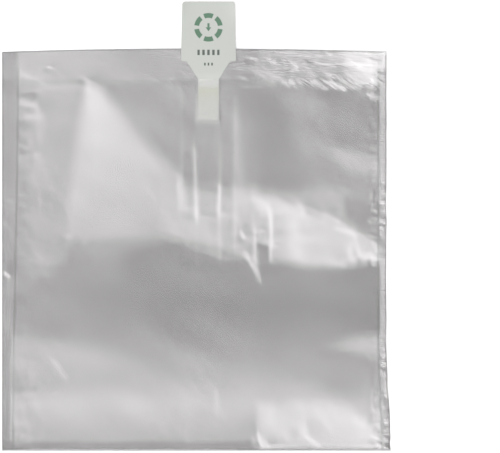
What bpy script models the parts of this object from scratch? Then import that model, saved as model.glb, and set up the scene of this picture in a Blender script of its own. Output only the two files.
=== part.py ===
"""Inflatable air cushion bag, lying flat and unfilled: a folded clear film with welded sides and top,
a film valve inside it and a white inlet tab that holds the valve's mouth open.

Metres, +Z up. The bag lies on its back wall at z = 0 and the inlet tab points to +Y. The origin is the
middle of the whole outline, on the underside.
"""

import math

import bmesh
import bpy
import numpy as np

# Bag film: one sheet, folded along the bottom
BAG_WIDTH = 0.3015  # side to side, at the free top edge
BAG_HEIGHT = 0.3155  # bottom fold to the middle of the free top edge
FILM_THICKNESS = 0.00008
FILM_GAP = 0.0003  # clearance between films that lie on each other
TOP_BOW = 0.0025  # how much lower the free top edge is at its corners
CORNER_FLARE = 0.0032  # how far the lower right corner spreads
FLARE_HEIGHT = 0.085  # where that spread begins, above the fold

# Heat welds
LEFT_FLANGE = 0.0110  # loose film outside the left weld
RIGHT_FLANGE = 0.0046  # loose film outside the right weld
SIDE_WELD = 0.0026
TOP_WELD = 0.0055
HEADER = 0.0240  # loose film above the top weld
WELD_OVERRUN = 0.0095  # how far the side welds run on above the top weld
WELD_END = 0.0012  # from the bottom fold to the end of a side weld
WELD_INSET = 0.0003  # the fused seam inside the pressed band
WELD_SPLAY = 0.0040  # how far the left weld leans outward at the bottom
SPLAY_REACH = 0.060  # film that follows the leaning weld
FLANGE_LIFT = 0.00022  # the loose film stands this much over the pressed weld
LIFT_RUN = 0.0030

# Film valve
VALVE_OFFSET = 0.0112  # right of the middle of the top edge
VALVE_THICKNESS = 0.00006
STRIP_WIDTH = 0.0424
STRIP_LENGTH = 0.150
STRIP_SHOULDER = 0.0035  # film that slopes down beside the valve strip
CHANNEL_CLEARANCE = 0.0014  # between the tab's stem and each channel weld

# Inlet tab
TAB_THICKNESS = 0.00035
STEM_WIDTH = 0.0161
STEM_LENGTH = 0.0321  # from the top weld's upper edge into the bag
TAPER_LENGTH = 0.0141
NECK_WIDTH = 0.0342  # where the taper meets the head's shoulders
HEAD_LENGTH = 0.0467
HEAD_WIDTH = 0.0433  # at the shoulders
HEAD_NARROWING = 0.0021  # how much narrower the head is at its top
HEAD_CURL = 0.0010  # how far the head's top corners curl up
CURL_LENGTH = 0.020
SLIT_CLEARANCE = 0.0009  # at each side of the stem, where it passes through the front wall
SLIT_OPENING = 0.0012
SLIT_SETBACK = 0.0004  # from the top weld to the slit

# Shape of the slack front wall. A facet is a stretch of film with one slope, as rise over run from the lower
# left to the upper right. Its corners are shares of the air space, across and up, and later ones lie on top
REST_SLOPE = 0.0586
FACETS = {
    "lower": (0.0540, [(-0.2, 0.50), (0.36, 0.49), (1.2, 0.48), (1.2, -0.2), (-0.2, -0.2)]),
    "foot": (0.0700, [(-0.2, 0.20), (1.2, 0.17), (1.2, -0.2), (-0.2, -0.2)]),
    "left": (0.0463, [(-0.2, 1.2), (0.20, 1.2), (0.19, 0.91), (0.14, 0.60), (0.06, 0.41), (-0.2, 0.37)]),
    "wedge": (0.0840, [(0.19, 1.05), (0.22, 1.0), (0.32, 0.87), (0.44, 0.73), (0.49, 0.55), (0.13, 0.58),
                       (0.18, 0.83)]),
    "band": (0.0840, [(0.39, 0.72), (0.72, 0.72), (1.04, 0.54), (1.04, 0.51), (0.50, 0.54), (0.36, 0.57)]),
    "corner": (0.0910, [(0.64, 0.14), (0.90, 0.15), (1.2, 0.0), (1.2, -0.2), (0.64, -0.2)]),
}
FACET_ROUNDING = 0.05  # share of the air space over which one facet turns into the next
WALL_CELLS = 34  # cells of the grid that the wall settles on, each way
RIM_SHARE = 0.035  # near its rim the wall follows its welds rather than the facets
RIM_WEIGHT = 0.05
CROSS_WEIGHT = 0.03  # how firmly it stays level across the slopes
STIFFNESS = 0.042
HOLD_WEIGHT = 0.12  # how firmly the layers below hold it up
LEAST_SWELL = 0.00035
SETTLING_ROUNDS = 4
FOLD_HEIGHT = 0.0010  # height of the front wall where it turns into the bottom fold
SIDE_RISE = 0.12  # how steeply that height falls towards the side welds
WELD_FADE = 0.004  # the wall comes down to its welds over this distance

# Mesh
FILM_STEP = 0.0095  # widest spacing of the film's points
FIRST_STEP = 0.009  # from the bottom fold to the first row of the front wall
TAB_STEP = 0.0050
SEAM_STEP = 0.040
CLOSEST_STOPS = 0.00012
FOLD_SEGMENTS = 6
NECK_SHARES = (-1.0, -0.5, 0.0, 0.5, 1.0)  # places of the tab's inner columns across its neck

FILM_COLOUR = (0.40, 0.39, 0.40)
VALVE_BACK_COLOUR = (0.42, 0.42, 0.41)
VALVE_FRONT_COLOUR = (0.44, 0.44, 0.43)
TAB_COLOUR = (0.66, 0.69, 0.65)

TAB_REACH = TAPER_LENGTH + HEAD_LENGTH - HEADER
LEFT = -(BAG_WIDTH + CORNER_FLARE) / 2
RIGHT = LEFT + BAG_WIDTH
BOTTOM = -(BAG_HEIGHT + TAB_REACH) / 2
TOP = BOTTOM + BAG_HEIGHT
WELD_TOP = TOP - HEADER
WELD_BOTTOM = WELD_TOP - TOP_WELD
CHAMBER_LEFT = LEFT + LEFT_FLANGE + SIDE_WELD
CHAMBER_RIGHT = RIGHT - RIGHT_FLANGE - SIDE_WELD
CHAMBER_WIDTH = CHAMBER_RIGHT - CHAMBER_LEFT
CHAMBER_LENGTH = WELD_BOTTOM - BOTTOM
VALVE_X = (LEFT + RIGHT) / 2 + VALVE_OFFSET
STRIP_HALF = STRIP_WIDTH / 2
STEM_HALF = STEM_WIDTH / 2
CHANNEL_HALF = STEM_HALF + CHANNEL_CLEARANCE
SLIT_HALF = STEM_HALF + SLIT_CLEARANCE
SLIT_LOW = WELD_TOP + SLIT_SETBACK
SLIT_HIGH = SLIT_LOW + SLIT_OPENING
STEM_END = WELD_TOP - STEM_LENGTH
STRIP_END = WELD_TOP - STRIP_LENGTH

# Heights of the middle of each film where they are pressed together at the top weld
BACK_LEVEL = FILM_THICKNESS / 2
WELD_LEVEL = BACK_LEVEL + FILM_THICKNESS + FILM_GAP
VALVE_STEP = VALVE_THICKNESS + FILM_GAP  # from one valve film to the next
VALVE_DROP = (FILM_THICKNESS + VALVE_THICKNESS) / 2 + FILM_GAP  # from the front wall to the valve
STRIP_LIFT = 2 * VALVE_STEP  # what the valve films add under the front wall
STEM_LIFT = TAB_THICKNESS + FILM_GAP  # what the stem adds
TAB_DROP = VALVE_DROP + (VALVE_THICKNESS + TAB_THICKNESS) / 2 + FILM_GAP


def smooth(t):
    """0 below 0, 1 above 1 and an S curve between."""
    t = min(max(t, 0.0), 1.0)
    return t * t * (3 - 2 * t)


def blend(a, b, t):
    return a + (b - a) * t


def lay_x(x, y):
    """Where a point of the flat pattern lies: the lower right corner spreads and the left weld leans."""
    middle = (LEFT + RIGHT) / 2
    share = max(0.0, (x - middle) / (RIGHT - middle))
    x_flared = x + CORNER_FLARE * share**2 * smooth(1 - (y - BOTTOM) / FLARE_HEIGHT)
    weld = LEFT + LEFT_FLANGE + SIDE_WELD / 2
    if x < weld:
        follow = (x - LEFT) / (weld - LEFT)
    else:
        follow = max(0.0, 1 - (x - weld) / SPLAY_REACH)
    return x_flared - WELD_SPLAY * follow * smooth((WELD_TOP - y) / (WELD_TOP - BOTTOM))


def lay_y(x, y):
    """The free top edge bows, so the loose film above the welds is shorter at the corners."""
    middle = (LEFT + RIGHT) / 2
    share = (x - middle) / (RIGHT - middle)
    over = max(0.0, (y - SLIT_HIGH) / (TOP - SLIT_HIGH))
    return y - TOP_BOW * over * share * share


def facet_share(across, up, corners):
    """1 well inside a facet, 0 outside it and an S curve at its edges."""
    share = 1.0
    for (x0, y0), (x1, y1) in zip(corners, corners[1:] + corners[:1]):
        inward = ((y1 - y0) * (across - x0) - (x1 - x0) * (up - y0)) / math.hypot(x1 - x0, y1 - y0)
        share *= smooth(inward / FACET_ROUNDING + 0.5)
    return share


def facet_slope(across, up):
    slope = REST_SLOPE
    for level, corners in FACETS.values():
        slope = blend(slope, level, facet_share(across, up, corners))
    return slope


def settle_wall():
    """Heights of the slack front wall over its welds, on an even grid of the air space.

    The wall is held at its rim and settles until its slopes come nearest to those of the facets.
    """
    nodes = WALL_CELLS + 1
    index = np.arange(nodes * nodes).reshape(nodes, nodes)
    diagonal = math.hypot(CHAMBER_WIDTH, CHAMBER_LENGTH) / WALL_CELLS

    def differences(*terms):
        """One equation for each place on the grid: every term is a factor and how far right and up it is."""
        right, up = (max(term[axis] for term in terms) for axis in (1, 2))
        first = index[: nodes - up, : nodes - right].ravel()
        equations = np.zeros((len(first), nodes * nodes))
        for factor, right, up in terms:
            equations[np.arange(len(first)), first + up * nodes + right] += factor
        return equations

    middles = [(i + 0.5) / WALL_CELLS for i in range(WALL_CELLS)]
    slopes = np.array([facet_slope(across, up) for up in middles for across in middles])
    to_rim = [min(across, 1 - across, up, 1 - up) for up in middles for across in middles]
    weights = np.sqrt([blend(RIM_WEIGHT, 1.0, smooth(distance / RIM_SHARE)) for distance in to_rim])
    parts = [weights[:, None] * differences((1, 1, 1), (-1, 0, 0)),
             weights[:, None] * math.sqrt(CROSS_WEIGHT) * differences((1, 0, 1), (-1, 1, 0)),
             STIFFNESS * differences((1, 0, 0), (-2, 1, 0), (1, 2, 0)),
             STIFFNESS * differences((1, 0, 0), (-2, 0, 1), (1, 0, 2))]
    equations = np.concatenate(parts)
    aims = np.zeros(len(equations))
    aims[: len(slopes)] = weights * slopes * diagonal

    heights = np.zeros(nodes * nodes)
    for i in range(nodes):
        from_side = min(i, WALL_CELLS - i) * CHAMBER_WIDTH / WALL_CELLS
        heights[i] = min(FOLD_HEIGHT, SIDE_RISE * from_side)
    aims -= equations @ heights
    free = index[1:-1, 1:-1].ravel()
    loose = equations[:, free]
    normal = loose.T @ loose
    pull = loose.T @ aims
    hold = np.zeros(len(free))
    for _ in range(SETTLING_ROUNDS):
        heights[free] = np.linalg.solve(normal + np.diag(hold), pull + hold * LEAST_SWELL)
        hold = np.where(heights[free] < LEAST_SWELL, HOLD_WEIGHT, 0.0)
    return heights.reshape(nodes, nodes)


WALL_HEIGHTS = settle_wall()


def swell(x, y):
    """Height of the slack front wall over its welds."""
    across = (x - CHAMBER_LEFT) / CHAMBER_WIDTH
    up = (y - BOTTOM) / CHAMBER_LENGTH
    if across <= 0 or across >= 1 or up >= 1:
        return 0.0
    column, row = (min(int(share * WALL_CELLS), WALL_CELLS - 1) for share in (across, up))
    right, above = across * WALL_CELLS - column, up * WALL_CELLS - row
    low, high = (blend(*WALL_HEIGHTS[line, column : column + 2], right) for line in (row, row + 1))
    from_side = min(x - CHAMBER_LEFT, CHAMBER_RIGHT - x)
    near_weld = smooth(from_side / WELD_FADE) * smooth((WELD_BOTTOM - y) / WELD_FADE)
    return max(blend(low, high, above), LEAST_SWELL) * near_weld


def lift_outside(x, y):
    """How far the loose film of the flanges and the header stands over the pressed welds."""
    out = max(LEFT + LEFT_FLANGE - x, x - (RIGHT - RIGHT_FLANGE), 0.0)
    above_side_weld = y - (WELD_TOP + WELD_OVERRUN)
    in_header = min(max(y - WELD_TOP, 0.0), max(abs(x - VALVE_X) - HEAD_WIDTH / 2 - FILM_GAP, 0.0))
    over_weld = LEFT + LEFT_FLANGE <= x <= CHAMBER_LEFT or CHAMBER_RIGHT <= x <= RIGHT - RIGHT_FLANGE
    if over_weld:
        in_header = max(above_side_weld, 0.0)
    return FLANGE_LIFT * smooth(max(out, in_header) / LIFT_RUN)


def strip_level(x, y):
    """Middle of the front wall, with the valve films under it but without the stem."""
    level = WELD_LEVEL + swell(x, y) + lift_outside(x, y)
    beside = smooth(1 - (abs(x - VALVE_X) - STRIP_HALF) / STRIP_SHOULDER)
    below = smooth(1 - (STRIP_END - y) / STRIP_SHOULDER)
    above = 1.0 if y < SLIT_LOW + SLIT_SETBACK else 0.0
    return level + STRIP_LIFT * beside * below * above


def stem_bump(x, y):
    """1 over the stem and 0 away from it."""
    beside = 1 - (abs(x - VALVE_X) - STEM_HALF - FILM_GAP) / (CHANNEL_CLEARANCE - FILM_GAP)
    below = 1 - (STEM_END - FILM_GAP - y) / STRIP_SHOULDER
    above = 1.0 if y < SLIT_LOW + SLIT_SETBACK else 0.0
    return min(max(beside, 0.0), 1.0) * smooth(below) * above


def front_level(x, y):
    return strip_level(x, y) + STEM_LIFT * stem_bump(x, y)


def valve_front_level(x, y):
    return front_level(x, y) - VALVE_DROP


def valve_back_level(x, y):
    return strip_level(x, y) - VALVE_DROP - VALVE_STEP


def tab_level(x, y):
    """Middle of the inlet tab: flat outside the bag, and following the valve inside it."""
    if y < WELD_TOP:
        level = strip_level(x, y) + STEM_LIFT
    else:
        level = WELD_LEVEL + STRIP_LIFT + STEM_LIFT
    head_top = WELD_TOP + TAPER_LENGTH + HEAD_LENGTH
    up = smooth(1 - (head_top - y) / CURL_LENGTH)
    out = abs(x - VALVE_X) / (HEAD_WIDTH / 2)
    return level - TAB_DROP + HEAD_CURL * up * out**4


def stops(marks, step):
    """The marks in order, with even stops between them no more than a step apart."""
    marks = sorted(marks)
    places = [marks[0]]
    for mark in marks[1:]:
        span = mark - places[-1]
        if span < CLOSEST_STOPS:
            continue
        count = max(1, math.ceil(span / step - 0.01))
        start = places[-1]
        places += [start + span * i / count for i in range(1, count + 1)]
    return places


def film_columns():
    marks = [LEFT, LEFT + LEFT_FLANGE - LIFT_RUN, LEFT + LEFT_FLANGE, CHAMBER_LEFT]
    marks += [CHAMBER_LEFT + WELD_FADE, CHAMBER_RIGHT - WELD_FADE]
    marks += [CHAMBER_RIGHT, RIGHT - RIGHT_FLANGE, RIGHT - RIGHT_FLANGE + LIFT_RUN, RIGHT]
    for half in (STEM_HALF + FILM_GAP, SLIT_HALF, CHANNEL_HALF, STRIP_HALF, STRIP_HALF + STRIP_SHOULDER):
        marks += [VALVE_X - half, VALVE_X + half]
    return stops(marks, FILM_STEP)


def film_rows():
    marks = [TOP, WELD_TOP + WELD_OVERRUN + LIFT_RUN, WELD_TOP + WELD_OVERRUN]
    marks += [WELD_TOP + LIFT_RUN, SLIT_HIGH, SLIT_LOW, WELD_TOP, WELD_BOTTOM, WELD_BOTTOM - WELD_FADE]
    marks += [STEM_END - FILM_GAP, STEM_END - FILM_GAP - STRIP_SHOULDER]
    marks += [STRIP_END, STRIP_END - STRIP_SHOULDER]
    marks += [BOTTOM + FIRST_STEP]
    return stops(marks, FILM_STEP)


def film_material(name, colour, roughness, alpha):
    material = bpy.data.materials.new(name)
    material.use_nodes = True
    shader = material.node_tree.nodes["Principled BSDF"]
    shader.inputs["Base Color"].default_value = (*colour, 1.0)
    shader.inputs["Roughness"].default_value = roughness
    shader.inputs["Metallic"].default_value = 0.0
    shader.inputs["Alpha"].default_value = alpha
    return material


def sheet_object(name, points, cells, thickness, material):
    """A sheet of the given thickness, solid on both sides of a surface of quads."""
    mesh = bpy.data.meshes.new(name)
    bm = bmesh.new()
    verts = [bm.verts.new(point) for point in points]
    for cell in cells:
        bm.faces.new([verts[i] for i in cell])
    loose = [vert for vert in bm.verts if not vert.link_faces]
    bmesh.ops.delete(bm, geom=loose, context="VERTS")
    bm.normal_update()
    bm.to_mesh(mesh)
    bm.free()
    sheet = bpy.data.objects.new(name, mesh)
    bpy.context.collection.objects.link(sheet)
    mesh.materials.append(material)
    mesh.shade_smooth()
    solid = sheet.modifiers.new("Thickness", "SOLIDIFY")
    solid.thickness = thickness
    solid.offset = 0.0
    solid.use_even_offset = True
    return sheet


def grid_cells(columns, rows, keep=lambda column, row: True):
    """Quads of a grid whose points run column by column along each row, facing +Z where y rises."""
    cells = []
    for row in range(rows - 1):
        for column in range(columns - 1):
            if keep(column, row):
                first = row * columns + column
                cells.append((first, first + 1, first + columns + 1, first + columns))
    return cells


def fold_points(columns, lowest_row):
    """Rows of points round the bottom fold, from the back wall to the front wall."""
    rows = []
    for i in range(1, FOLD_SEGMENTS):
        angle = math.pi * i / FOLD_SEGMENTS
        row = []
        for x in columns:
            radius = (front_level(x, lowest_row) - BACK_LEVEL) / 2
            y = BOTTOM + FILM_THICKNESS / 2 + radius * (1 - math.sin(angle))
            row.append((lay_x(x, y), y, BACK_LEVEL + radius * (1 - math.cos(angle))))
        rows.append(row)
    return rows


def seam_outline(side):
    """Outline of one fused seam: a side weld and its arm along the top weld, ending at the valve."""
    if side < 0:
        outer, inner = LEFT + LEFT_FLANGE + WELD_INSET, CHAMBER_LEFT - WELD_INSET
    else:
        outer, inner = RIGHT - RIGHT_FLANGE - WELD_INSET, CHAMBER_RIGHT + WELD_INSET
    arm_end = VALVE_X + side * (STRIP_HALF + STRIP_SHOULDER + FILM_GAP)
    arm_low, arm_high = WELD_BOTTOM + WELD_INSET, WELD_TOP - WELD_INSET
    low, high = BOTTOM + WELD_END, WELD_TOP + WELD_OVERRUN - WELD_INSET
    lengths = stops([low, arm_low], SEAM_STEP)
    outline = [(outer, y) for y in reversed(lengths)] + [(inner, y) for y in lengths]
    outline += [(arm_end, arm_low), (arm_end, arm_high), (inner, arm_high), (inner, high), (outer, high)]
    return [(lay_x(x, y), y) for x, y in outline]


def make_seams():
    """The fused bars that join the two walls along the welds, cut to the middle of each wall."""
    mesh = bpy.data.meshes.new("seams")
    bm = bmesh.new()
    for side in (-1, 1):
        floor = bm.faces.new([bm.verts.new((x, y, BACK_LEVEL)) for x, y in seam_outline(side)])
        raised = bmesh.ops.extrude_face_region(bm, geom=[floor])
        tops = [item for item in raised["geom"] if isinstance(item, bmesh.types.BMVert)]
        bmesh.ops.translate(bm, verts=tops, vec=(0, 0, WELD_LEVEL - BACK_LEVEL))
    bmesh.ops.recalc_face_normals(bm, faces=bm.faces)
    bm.to_mesh(mesh)
    bm.free()
    seams = bpy.data.objects.new("seams", mesh)
    bpy.context.collection.objects.link(seams)
    seams.display_type = "WIRE"
    seams.hide_render = True
    return seams


def make_bag_film():
    """Back wall, bottom fold and front wall of one sheet, with the slit that the tab passes through."""
    columns = film_columns()
    front_rows = film_rows()
    back_rows = [TOP, SLIT_HIGH, (WELD_TOP + BOTTOM) / 2]
    lowest = front_rows[0]
    rows = []
    for y in back_rows:
        rows.append([(lay_x(x, y), lay_y(x, y), BACK_LEVEL) for x in columns])
    rows.append([(lay_x(x, lowest), lowest, BACK_LEVEL) for x in columns])
    radius_row = []
    for x in columns:
        radius = (front_level(x, BOTTOM) - BACK_LEVEL) / 2
        y = BOTTOM + FILM_THICKNESS / 2 + radius
        radius_row.append((lay_x(x, y), y, BACK_LEVEL))
    rows.append(radius_row)
    rows += fold_points(columns, BOTTOM)
    rows.append([(x, y, front_level(column, BOTTOM)) for (x, y, z), column in zip(radius_row, columns)])
    first_front = len(rows)
    for y in front_rows:
        rows.append([(lay_x(x, y), lay_y(x, y), front_level(x, y)) for x in columns])
    slit_row = first_front + min(range(len(front_rows)), key=lambda i: abs(front_rows[i] - SLIT_LOW))

    def keep(column, row):
        middle = (columns[column] + columns[column + 1]) / 2
        return row != slit_row or abs(middle - VALVE_X) > SLIT_HALF

    points = [point for row in rows for point in row]
    cells = grid_cells(len(columns), len(rows), keep)
    material = film_material("clear_film", FILM_COLOUR, 0.18, 0.5)
    film = sheet_object("bag_film", points, cells, FILM_THICKNESS, material)
    weld = film.modifiers.new("Welds", "BOOLEAN")
    weld.operation = "UNION"
    weld.object = make_seams()
    return film


def make_valve_film(name, level, colour):
    """One of the two films of the valve, welded into the top weld and hanging loose in the bag."""
    columns = [x for x in film_columns() if abs(x - VALVE_X) < STRIP_HALF + CLOSEST_STOPS]
    rows = [y for y in film_rows() if STRIP_END - CLOSEST_STOPS < y < WELD_TOP + CLOSEST_STOPS]
    points = [(x, y, level(x, y)) for y in rows for x in columns]
    material = film_material(name, colour, 0.25, 0.4)
    cells = grid_cells(len(columns), len(rows))
    return sheet_object(name, points, cells, VALVE_THICKNESS, material)


def tab_half_widths(y):
    """Half widths of the neck and of the head at this height."""
    shoulder = WELD_TOP + TAPER_LENGTH
    neck = blend(STEM_HALF, NECK_WIDTH / 2, min(max((y - WELD_TOP) / TAPER_LENGTH, 0.0), 1.0))
    up = max(0.0, (y - shoulder) / HEAD_LENGTH)
    return neck, (HEAD_WIDTH - HEAD_NARROWING * up) / 2


def make_inlet_tab():
    """The stiff tab: a stem between the valve films, a taper and a head with square shoulders."""
    shoulder = WELD_TOP + TAPER_LENGTH
    head_top = shoulder + HEAD_LENGTH
    stem_rows = [y for y in film_rows() if STEM_END < y < WELD_TOP]
    rows = stops([STEM_END, *stem_rows, WELD_TOP, shoulder, head_top - CURL_LENGTH, head_top], TAB_STEP)
    points = []
    for y in rows:
        neck, head = tab_half_widths(y)
        inner = [neck * share for share in NECK_SHARES]
        columns = [VALVE_X + offset for offset in (-head, *inner, head)]
        points += [(x, y, tab_level(x, y)) for x in columns]
    last = len(NECK_SHARES)

    def keep(column, row):
        return 0 < column < last or (rows[row] + rows[row + 1]) / 2 > shoulder

    material = film_material("white_plastic", TAB_COLOUR, 0.45, 1.0)
    cells = grid_cells(last + 2, len(rows), keep)
    return sheet_object("inlet_tab", points, cells, TAB_THICKNESS, material)


for old in list(bpy.data.objects):
    bpy.data.objects.remove(old, do_unlink=True)

make_bag_film()
make_valve_film("valve_back_film", valve_back_level, VALVE_BACK_COLOUR)
make_valve_film("valve_front_film", valve_front_level, VALVE_FRONT_COLOUR)
make_inlet_tab()
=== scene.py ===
# Inflatable air cushion bag, lying flat and unfilled on a pale table, seen from straight above
import math

import bpy
import numpy as np
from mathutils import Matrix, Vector


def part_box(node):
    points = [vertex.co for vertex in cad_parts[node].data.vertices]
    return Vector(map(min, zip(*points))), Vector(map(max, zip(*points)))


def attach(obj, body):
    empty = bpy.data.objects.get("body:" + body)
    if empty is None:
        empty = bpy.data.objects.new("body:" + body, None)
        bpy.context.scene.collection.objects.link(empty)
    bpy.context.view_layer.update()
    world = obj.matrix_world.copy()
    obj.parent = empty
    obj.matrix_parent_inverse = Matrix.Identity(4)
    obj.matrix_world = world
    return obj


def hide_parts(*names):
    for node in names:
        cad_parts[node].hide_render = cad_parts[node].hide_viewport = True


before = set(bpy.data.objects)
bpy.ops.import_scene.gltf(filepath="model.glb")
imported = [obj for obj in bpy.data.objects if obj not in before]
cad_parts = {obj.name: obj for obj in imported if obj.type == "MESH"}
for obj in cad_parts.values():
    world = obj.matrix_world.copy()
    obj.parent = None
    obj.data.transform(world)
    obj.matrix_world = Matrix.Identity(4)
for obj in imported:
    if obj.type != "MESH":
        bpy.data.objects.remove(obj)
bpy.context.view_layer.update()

mm = 0.001

# Places on the bag are a, millimetres from its left edge, and b, millimetres above its bottom fold
tabLow, tabHigh = (np.array(corner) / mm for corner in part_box("inlet_tab"))
stripLow, stripHigh = (np.array(corner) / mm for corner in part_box("valve_front_film"))
left, bottom, _ = np.array(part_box("bag_film")[0]) / mm

bag = {
    "width": 301.5, "height": 315.5, "cornerFlare": 3.2, "flareHeight": 85, "topBow": 2.5,
    "leftFlange": 11, "rightFlange": 4.6, "sideWeld": 2.6, "topWeld": 5.5, "weldOverrun": 9.5,
    "weldSplay": 4, "splayReach": 60,
    "backLevel": 0.04, "wallGap": 0.1, "weldLevel": 0.36,  # levels are above the table
    "foldReach": 0.6, "rimLift": 25,
    # Where the mesh is finer, and its steps
    "leftFine": 46, "rightFine": 112, "columnStep": 1.9, "fineColumnStep": 0.98,
    "footTop": 15, "bandLow": 138, "bandTop": 216, "headerLow": 278,
    "rowStep": 1.5, "fineRowStep": 0.95, "headerRowStep": 0.78,
    "backRimLow": 250, "backRowStep": 9, "backRimStep": 3.2,
}
weldTop = stripHigh[1] - bottom
weldBottom = weldTop - bag["topWeld"]
airLeft = bag["leftFlange"] + bag["sideWeld"]
airRight = bag["width"] - bag["rightFlange"] - bag["sideWeld"]
valveA = (tabLow[0] + tabHigh[0]) / 2 - left


def smooth(t):
    t = np.clip(t, 0.0, 1.0)
    return t * t * (3 - 2 * t)


def ripple(a, b, wavelength, seed, count=10):
    # Even, aimless waves: a sum of sines whose size is about one
    random = np.random.default_rng(seed)
    total = np.zeros_like(a)
    for _ in range(count):
        angle, phase = random.uniform(0, 2 * math.pi, 2)
        pitch = wavelength * random.uniform(0.7, 1.5)
        total += np.sin(2 * math.pi * (a * math.cos(angle) + b * math.sin(angle)) / pitch + phase)
    return total / math.sqrt(count)


# How the slack front wall lies. A facet is a stretch with one tilt towards the lower left, as rise over
# run: (tilt, change per 100 mm right, change per 100 mm up, corners clockwise as a, b and the softness of
# the edge that starts there, in mm). Later facets lie over earlier ones
drape = {
    "cell": 2.5, "restTilt": -0.002, "fan": 0.0000221, "crossWeight": 0.008, "stiffness": 0.012,
    "leastHeight": 0.02, "holdWeight": 0.03, "anchor": 0.002, "rounds": 4, "steps": 300,
    "foldPuff": 0.07, "puffReach": 8,
    "waves": [(0.008, 34, 2), (0.002, 9, 3)], "waveFade": 3,  # waves: height, length, seed
    "creaseStrength": 0.55, "creaseSpread": (2, 0.8, 9), "creaseReach": 2.4, "creaseFade": 5,
}
facets = {
    "lower": (0.0028, -0.0034, -0.0366, [(-49, 136.5, 26), (116, 133, 24), (367, 137.5, 16),
        (367, -55.5, 16), (-49, -55.5, 16)]),
    "lowerMiddle": (-0.0165, 0, 0.0406, [(-49, 83, 55), (92, 70, 60), (367, 59, 31), (367, -54, 31),
        (-49, -54, 31)]),
    "lowerFoot": (-0.0011, 0.0004, 0.0304, [(-49, 52, 31), (367, 44, 31), (367, -54, 31),
        (-49, -54, 31)]),
    "leftHollow": (-0.0074, 0.0065, -0.0123, [(-49, 164.5, 31), (49.5, 160.5, 49.5), (92, 125, 49),
        (46, 84, 30), (-49, 82, 31)]),
    "leftFoot": (0.0054, 0.0016, 0.0182, [(-49, 82, 19), (37, 88, 31), (85, 65, 31), (53, 46, 24),
        (-49, 46, 24)]),
    "leftEdge": (0.0052, 0.0354, 0.0044, [(-50, 337.5, 16), (78.5, 337.5, 10.5), (80, 259.5, 10.5),
        (61, 185.5, 14), (53.5, 157.5, 18), (25, 124.5, 19), (-49.5, 106, 16)]),
    "leftShade": (0.0032, 0, 0, [(33.5, 284, 15), (78, 290, 6.5), (73.5, 236, 7), (59.5, 179, 7),
        (50, 150, 10.5), (27.5, 147, 13)]),
    "wedgeShade": (-0.0018, 0, 0, [(73.5, 306.5, 31), (112.5, 306, 46), (128, 218, 30.5),
        (91, 235.5, 23.5)]),
    "wedge": (0.0131, -0.0083, 0.0131, [(67, 288, 4.5), (74.5, 290.5, 21), (108.5, 252, 23),
        (145.5, 213.5, 16.5), (151, 166.5, 14), (55, 166, 6.5), (51.5, 172, 4.5), (50.5, 182, 14)]),
    "bandShade": (-0.015, 0, 0, [(98.5, 155, 15.5), (134, 166, 10.5), (203.5, 140.5, 8.5),
        (256.5, 123, 17.5), (91, 118.5, 27)]),
    "bandShadeRight": (-0.0141, 0, 0, [(180, 150, 7), (320, 149, 7), (320, 116, 20), (180, 118, 16)]),
    "bandMiddle": (0.0105, 0.001, 0.0063, [(118, 206.5, 18), (221.5, 204, 8.5), (212.5, 149, 13),
        (154.5, 162.5, 8), (128, 170, 14.5)]),
    "bandHaze": (0.0046, 0, 0, [(215.5, 203.5, 14), (277.5, 206, 20), (279, 169.5, 10.5),
        (256, 180.5, 12), (218, 188.5, 9)]),
    "bandRight": (0.0182, 0.0091, 0.0201, [(201, 190, 12.5), (216.5, 196.5, 15), (267, 179.5, 8),
        (305.5, 153, 5), (306.5, 149, 14), (253, 141.5, 15), (189, 152, 13)]),
    "cornerRight": (0.0206, 0.0064, 0.0086, [(200.5, 39, 17), (226.5, 40, 19), (272, 46.5, 22.5),
        (285.5, 28, 18.5), (331, 15, 16), (328.5, -54, 16), (199.5, -54, 4)]),
    "spike": (0.007, 0, 0, [(186, 160, 4), (198, 164, 4), (201, 150, 3), (203.5, 133, 3)]),
    "spikeShade": (-0.004, 0, 0, [(200, 163, 3), (209, 160, 4), (209, 147, 4), (202, 146, 3)]),
    "blob": (-0.008, 0, 0, [(268, 200, 9), (278, 199, 9), (290, 192, 9), (290, 176, 9), (280, 176, 9),
        (268, 188, 9)]),
    "streak": (-0.0015, 0, 0, [(221, 314, 19), (237, 314, 20), (270, 208, 16), (246, 208, 19)]),
    "streakShade": (-0.0107, 0, 0, [(189, 286, 14), (215, 283, 18), (241.5, 209.5, 18),
        (207, 203.5, 27.5)]),
    "rightShade": (-0.0063, 0, 0, [(250, 281, 10), (300, 281, 8), (300, 240, 10), (262, 240, 10)]),
    "rightPatch": (0.005, 0, 0, [(254, 238, 9), (275, 236, 8), (309, 225, 6), (309, 216, 11),
        (270, 219, 11)]),
    "lowPatch": (0.0054, 0, 0, [(251, 81, 16), (286, 93, 13), (309, 92, 9), (309, 70, 16),
        (282, 73, 13)]),
    "lowShade": (-0.0041, 0, 0, [(248, 40, 16), (262, 71, 16), (309, 65, 19), (309, 33, 24),
        (275, 43, 24)]),
    "header": (-0.0025, -0.0072, -0.0053, [(-49, 350, 6), (367, 350, 6), (367, 287, 6), (-49, 287, 6)]),
    "headerRight": (0.0068, 0, 0, [(200, 350, 20), (367, 350, 6), (367, 287, 6), (200, 287, 20)]),
    "headerCorner": (0.0327, 0, 0, [(262, 350, 20), (367, 350, 6), (367, 287, 10), (275, 287, 20)]),
    "leftMargin": (-0.0035, 0, 0, [(-20, 350, 6), (12, 350, 6), (9, -20, 6), (-20, -20, 6)]),
    "rightMargin": (0.0065, 0, 0, [(296, 300, 4), (330, 300, 6), (330, -20, 6), (297, -20, 4)]),
}


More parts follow.
